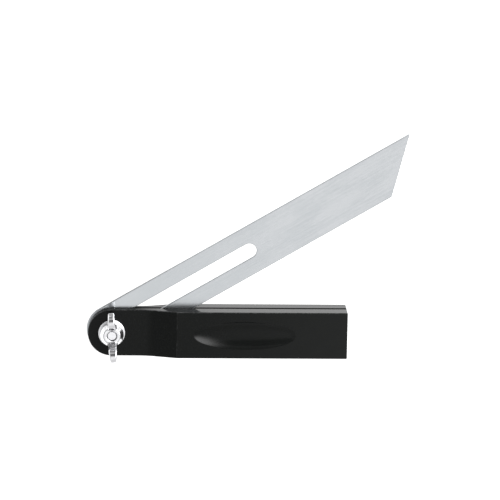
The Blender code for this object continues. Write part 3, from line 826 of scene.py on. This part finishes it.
def bright_nickel(groups):
    """Bright plating over a casting: slow waves, a few pits, duller machined faces, and painted shade
    in the crevices, where the 'rub' attribute is below 0."""
    material, tree, shader = new_material("bright_nickel", 1.0, (0.84, 0.84, 0.85), 0.1)
    position = position_in(tree)
    grain = use_group(tree, groups["grain"], Position=position, Fine=3200.0, Coarse=800.0)
    wear = use_group(tree, groups["wear"], Position=position, Scale=900.0, Reach=0.8)["Wear"]
    pits = fade(tree, grain["Grain"], 0.68, 0.76)
    plated = mixed(tree, grain["Mottle"], NICKEL_DEEP, NICKEL_PALE)
    pitted = mixed(tree, calc(tree, "MULTIPLY", pits, 0.6), plated, NICKEL_PIT)
    rub = add_node(tree, "Attribute", attribute_name="rub").outputs["Fac"]
    # Crevices, where 'rub' is below 0, get painted shade.
    crevice = calc(tree, "MAXIMUM", calc(tree, "MULTIPLY", rub, -1.0), 0.0)
    shade_patchiness = between(tree, fade(tree, grain["Grain"], 0.40, 0.56), 0.35, 1.0)
    crevice_shaded = mixed(tree, calc(tree, "MULTIPLY", crevice, shade_patchiness), pitted, CREVICE_SHADE)
    tree.links.new(crevice_shaded, shader["Base Color"])
    rough = between(tree, grain["Mottle"], 0.06, 0.16)
    tree.links.new(calc(tree, "MULTIPLY_ADD", wear, 0.22, rough), shader["Roughness"])
    tree.links.new(bump(tree, grain["Mottle"], CASTING_RELIEF), shader["Normal"])
    return material


def dark_steel(groups):
    """Blackened steel, uneven in colour and gloss."""
    material, tree, shader = new_material("dark_steel", 1.0, (0.06, 0.06, 0.064), 0.4)
    position = position_in(tree)
    grain = use_group(tree, groups["grain"], Position=position, Fine=2400.0, Coarse=500.0)
    colour = mixed(tree, grain["Mottle"], BLACKED_DEEP, BLACKED_PALE)
    tree.links.new(colour, shader["Base Color"])
    tree.links.new(between(tree, grain["Mottle"], 0.3, 0.5), shader["Roughness"])
    tree.links.new(bump(tree, grain["Grain"], BLACKED_RELIEF), shader["Normal"])
    return material


def build_stock(paint, dark):
    front = new_piece("front_half", stock_half_patches(1), paint)
    rear = new_piece("rear_half", stock_half_patches(-1), paint)
    bore = [(0.0, -OVERRUN), (HOLE_RADIUS, -OVERRUN), (HOLE_RADIUS, BORE_CUTTER_TOP), (0.0, BORE_CUTTER_TOP)]
    bore = [(r, z, 0.0) for r, z in bore]
    for half in (front, rear):
        cutters = [screw_hole(f"{half.name}_{screw}_hole", screw, paint) for screw in SCREWS]
        cut(half, [new_piece(half.name + "_bore", [turned(bore, HOLE_COLUMNS)], paint), *cutters])
    dress(front, "stock", "black_paint", "front_stock_half")
    dress(rear, "stock", "black_paint", "rear_stock_half")
    for node in ("tail_spacer", *SCREWS):
        piece = joined_copy(node + "_skin", node, dark)
        dress(piece, "stock", "dark_steel", node)


def build_clamp(nickel):
    bolt = new_piece("bolt", bolt_patches(), nickel)
    dress(bolt, "bolt", "bright_nickel", "clamp_bolt")
    washers = (("rear_washer", "head_washer", "stock"), ("front_washer", "nut_washer", "washer"))
    for name, node, body in washers:
        low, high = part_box(node)
        washer = new_piece(name, washer_patches(low.z, high.z, high.x), nickel)
        dress(washer, body, "bright_nickel", node)
    nut = new_piece("wing_nut_casting", wing_nut_patches(), nickel, sharp=80)
    dress(nut, "wing_nut", "bright_nickel", "wing_nut")


def build_blade(steel):
    blade = new_piece("slotted_blade", blade_patches(), steel)
    lay_map(blade.data, BLADE_ANGLE)
    dress(blade, "blade", "satin_steel", "blade")


def build_camera():
    """The camera's own right, up and back directions come from a turn about Y, one about X and a roll."""
    side, rise, roll = CAMERA_SIDE_ANGLE, CAMERA_RISE_ANGLE, CAMERA_ROLL
    turn = Matrix.Rotation(-roll, 3, "Z") @ Matrix.Rotation(rise, 3, "X") @ Matrix.Rotation(side, 3, "Y")
    back = turn[2]
    place = Matrix.Translation([CAMERA_TARGET[i] + CAMERA_DISTANCE * back[i] for i in range(3)])
    camera = bpy.data.objects.new("camera", bpy.data.cameras.new("camera"))
    bpy.context.scene.collection.objects.link(camera)
    camera.data.sensor_width = SENSOR_WIDTH
    camera.data.lens = PIXELS_PER_METRE * CAMERA_DISTANCE * SENSOR_WIDTH / FRAME_PIXELS
    camera.matrix_world = place @ turn.transposed().to_4x4()
    bpy.context.scene.camera = camera


def build_floor():
    """A white table top that glows: plain white to the camera. The glow it sends to the tool has a
    painted shadow round the head, is weaker on the far side and a little weaker on the near side."""
    mesh = bpy.data.meshes.new("floor")
    size = FLOOR_HALF_SIZE
    corners = [(-size, -size, 0), (size, -size, 0), (size, size, 0), (-size, size, 0)]
    mesh.from_pydata(corners, [], [(0, 1, 2, 3)])
    floor = bpy.data.objects.new("floor", mesh)
    bpy.context.scene.collection.objects.link(floor)
    material, tree, shader = new_material("glowing_table", 0.0, (0.2, 0.2, 0.2), 0.9)
    place = add_node(tree, "TexCoord").outputs["Object"]
    glow = patched(tree, place, TABLE_GLOW, TABLE_SHADE_PATCHES, DARKEST_TABLE)
    seen = add_node(tree, "LightPath").outputs["Is Camera Ray"]
    tree.links.new(calc(tree, "MAXIMUM", glow, seen), shader["Emission Strength"])
    shader["Emission Color"].default_value = (1, 1, 1, 1)
    shader["Specular IOR Level"].default_value = 0.0
    mesh.materials.append(material)


def patched(tree, place, level, patches, darkest):
    """A level with soft patches. Each adds its strength times exp(-q * q), where q is the squared
    length of the place less the patch's middle, in its half widths. The sum never falls below
    darkest."""
    total = level
    for middle, widths, strength in patches:
        away = add_node(tree, "VectorMath", {0: place, 1: middle}, operation="SUBTRACT").outputs[0]
        scaled = add_node(tree, "VectorMath", {0: away, 1: widths}, operation="DIVIDE").outputs[0]
        product = add_node(tree, "VectorMath", {0: scaled, 1: scaled}, operation="DOT_PRODUCT")
        square = product.outputs["Value"]
        falloff = calc(tree, "EXPONENT", calc(tree, "MULTIPLY", calc(tree, "MULTIPLY", square, square), -1.0))
        total = calc(tree, "MULTIPLY_ADD", falloff, strength, total)
    return calc(tree, "MAXIMUM", total, darkest)


def build_surroundings():
    """The studio's sky, which only depends on the direction."""
    world = bpy.data.worlds.new("studio")
    bpy.context.scene.world = world
    world.use_nodes = True
    tree = world.node_tree
    tree.nodes.clear()
    direction = add_node(tree, "TexCoord").outputs["Generated"]
    sky = patched(tree, direction, SKY_LEVEL, SKY_PATCHES, DARKEST_SKY)
    background = add_node(tree, "Background", {"Color": sky})
    add_node(tree, "OutputWorld", {"Surface": background.outputs[0]})


def build():
    groups = {"grain": grain_group(), "wear": wear_group(), "brushing": brushing_group()}
    nickel = bright_nickel(groups)
    build_stock(black_paint(groups), dark_steel(groups))
    build_blade(satin_steel(groups))
    build_clamp(nickel)
    build_camera()
    build_floor()
    build_surroundings()
    bpy.context.scene.view_settings.view_transform = "Standard"


build()
